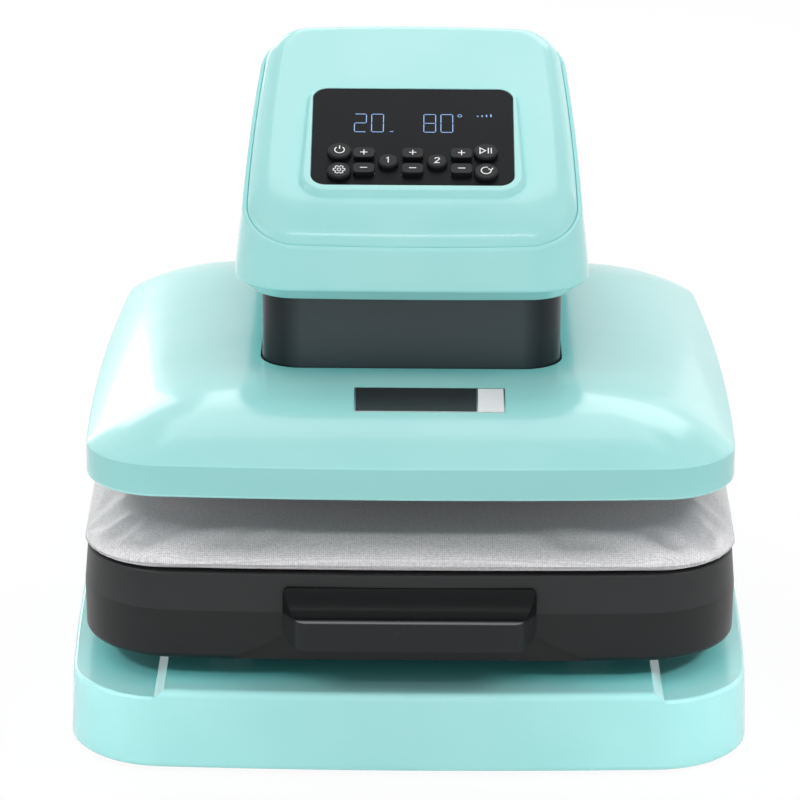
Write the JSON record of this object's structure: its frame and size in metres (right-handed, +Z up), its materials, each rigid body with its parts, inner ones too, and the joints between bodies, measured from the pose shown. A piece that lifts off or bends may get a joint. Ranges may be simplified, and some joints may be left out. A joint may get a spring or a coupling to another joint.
{
  "type": "automatic heat press",
  "caption": "Motor-driven heat press: a padded drawer slides out of a low base and a domed heated platen comes down on it from a head with a sloping control panel.",
  "frame": {"origin": "on the standing surface, under the middle of the base", "axes": "+X to the right as the user faces the drawer, +Y to the back, +Z up"},
  "size_m": [0.462, 0.538, 0.4295],
  "materials": {
    "mint_shell": "satin gloss",
    "tray_plastic": "fine matte",
    "black_plastic": "matte",
    "sleeve_paint": "satin paint",
    "panel_gloss": "satin",
    "key_plastic": "soft matte",
    "steel": "plain",
    "element_steel": "heat darkened",
    "aluminium": "milled",
    "bronze": "turned",
    "gear_plastic": "moulded",
    "motor_paint": "satin paint",
    "board": "lacquered",
    "display": "smooth",
    "felt": "needled felt",
    "foam": "open cell",
    "pad_cloth": "fine twill with a silver coat",
    "foot_rubber": "matte"
  },
  "bodies": {
    "frame": {"base_shell": "mint_shell", "bottom_plate": "steel", "rubber_feet": "foot_rubber", "base_screws": "steel", "left_rail": "steel", "right_rail": "steel", "left_frame": "steel", "right_frame": "steel", "column_web": "steel", "column_housing": "mint_shell", "rear_cover": "mint_shell", "rear_screws": "steel", "power_board": "board", "mains_inlet": "black_plastic", "switch_body": "black_plastic", "head_housing": "mint_shell", "head_cover": "mint_shell", "control_panel": "panel_gloss", "control_board": "board", "display_module": "display", "key_switches": "black_plastic", "press_beam": "steel", "thrust_bearing": "bronze", "guide_bushes": "bronze", "drive_motor": "motor_paint"},
    "platen": {"drive_nut": "bronze", "nut_housing": "steel", "guide_rods": "steel", "press_sleeve": "sleeve_paint", "platen_cover": "mint_shell", "platen_carrier": "steel", "standoffs": "steel", "insulation_felt": "felt", "heating_element": "element_steel", "heating_plate": "aluminium", "thermostat": "aluminium"},
    "drawer": {"drawer_tray": "tray_plastic", "drawer_handle": "tray_plastic", "lower_platen": "aluminium", "foam_pad": "foam", "pad_cover": "pad_cloth", "left_runner": "steel", "right_runner": "steel"},
    "screw": {"lead_screw": "steel", "screw_gear": "gear_plastic"},
    "rotor": {"motor_pinion": "steel"},
    "rocker": {"power_rocker": "black_plastic"},
    "power_button": {"power_key": "key_plastic"},
    "settings_button": {"settings_key": "key_plastic"},
    "time_plus_button": {"time_plus_key": "key_plastic"},
    "time_minus_button": {"time_minus_key": "key_plastic"},
    "first_preset_button": {"first_preset_key": "key_plastic"},
    "heat_plus_button": {"heat_plus_key": "key_plastic"},
    "heat_minus_button": {"heat_minus_key": "key_plastic"},
    "second_preset_button": {"second_preset_key": "key_plastic"},
    "force_plus_button": {"force_plus_key": "key_plastic"},
    "force_minus_button": {"force_minus_key": "key_plastic"},
    "start_button": {"start_key": "key_plastic"},
    "repeat_button": {"repeat_key": "key_plastic"}
  },
  "joints": [
    {"name": "press_slide", "type": "slide", "parent": "frame", "child": "platen", "axis": [0, 0, -1], "range_m": [0, 0.028]},
    {"name": "drawer_slide", "type": "slide", "parent": "frame", "child": "drawer", "axis": [0, -1, 0], "range_m": [0, 0.2]},
    {"name": "screw_spin", "type": "hinge", "parent": "frame", "child": "screw", "pos_m": [0, -0.025, 0.3358], "axis": [0, 0, 1], "range_deg": [0, 1262]},
    {"name": "motor_spin", "type": "hinge", "parent": "frame", "child": "rotor", "pos_m": [0, 0.028, 0.3358], "axis": [0, 0, 1], "range_deg": [-3880, 0]},
    {"name": "rocker_tilt", "type": "hinge", "parent": "frame", "child": "rocker", "pos_m": [0.036, 0.253, 0.102], "axis": [1, 0, 0], "range_deg": [-16, 0]},
    {"name": "power_press", "type": "slide", "parent": "frame", "child": "power_button", "axis": [0, 0.4384, -0.8988], "range_m": [0, 0.001], "stiffness_N_per_m": 2500, "springref_m": -0.0003},
    {"name": "settings_press", "type": "slide", "parent": "frame", "child": "settings_button", "axis": [0, 0.4384, -0.8988], "range_m": [0, 0.001], "stiffness_N_per_m": 2500, "springref_m": -0.0003},
    {"name": "time_plus_press", "type": "slide", "parent": "frame", "child": "time_plus_button", "axis": [0, 0.4384, -0.8988], "range_m": [0, 0.001], "stiffness_N_per_m": 2500, "springref_m": -0.0003},
    {"name": "time_minus_press", "type": "slide", "parent": "frame", "child": "time_minus_button", "axis": [0, 0.4384, -0.8988], "range_m": [0, 0.001], "stiffness_N_per_m": 2500, "springref_m": -0.0003},
    {"name": "first_preset_press", "type": "slide", "parent": "frame", "child": "first_preset_button", "axis": [0, 0.4384, -0.8988], "range_m": [0, 0.001], "stiffness_N_per_m": 2500, "springref_m": -0.0003},
    {"name": "heat_plus_press", "type": "slide", "parent": "frame", "child": "heat_plus_button", "axis": [0, 0.4384, -0.8988], "range_m": [0, 0.001], "stiffness_N_per_m": 2500, "springref_m": -0.0003},
    {"name": "heat_minus_press", "type": "slide", "parent": "frame", "child": "heat_minus_button", "axis": [0, 0.4384, -0.8988], "range_m": [0, 0.001], "stiffness_N_per_m": 2500, "springref_m": -0.0003},
    {"name": "second_preset_press", "type": "slide", "parent": "frame", "child": "second_preset_button", "axis": [0, 0.4384, -0.8988], "range_m": [0, 0.001], "stiffness_N_per_m": 2500, "springref_m": -0.0003},
    {"name": "force_plus_press", "type": "slide", "parent": "frame", "child": "force_plus_button", "axis": [0, 0.4384, -0.8988], "range_m": [0, 0.001], "stiffness_N_per_m": 2500, "springref_m": -0.0003},
    {"name": "force_minus_press", "type": "slide", "parent": "frame", "child": "force_minus_button", "axis": [0, 0.4384, -0.8988], "range_m": [0, 0.001], "stiffness_N_per_m": 2500, "springref_m": -0.0003},
    {"name": "start_press", "type": "slide", "parent": "frame", "child": "start_button", "axis": [0, 0.4384, -0.8988], "range_m": [0, 0.001], "stiffness_N_per_m": 2500, "springref_m": -0.0003},
    {"name": "repeat_press", "type": "slide", "parent": "frame", "child": "repeat_button", "axis": [0, 0.4384, -0.8988], "range_m": [0, 0.001], "stiffness_N_per_m": 2500, "springref_m": -0.0003}
  ],
  "couplings": [
    {"joint": "screw_spin", "follows": "press_slide", "rad_per_m": 785.4},
    {"joint": "motor_spin", "follows": "press_slide", "rad_per_m": -2416.6}
  ]
}
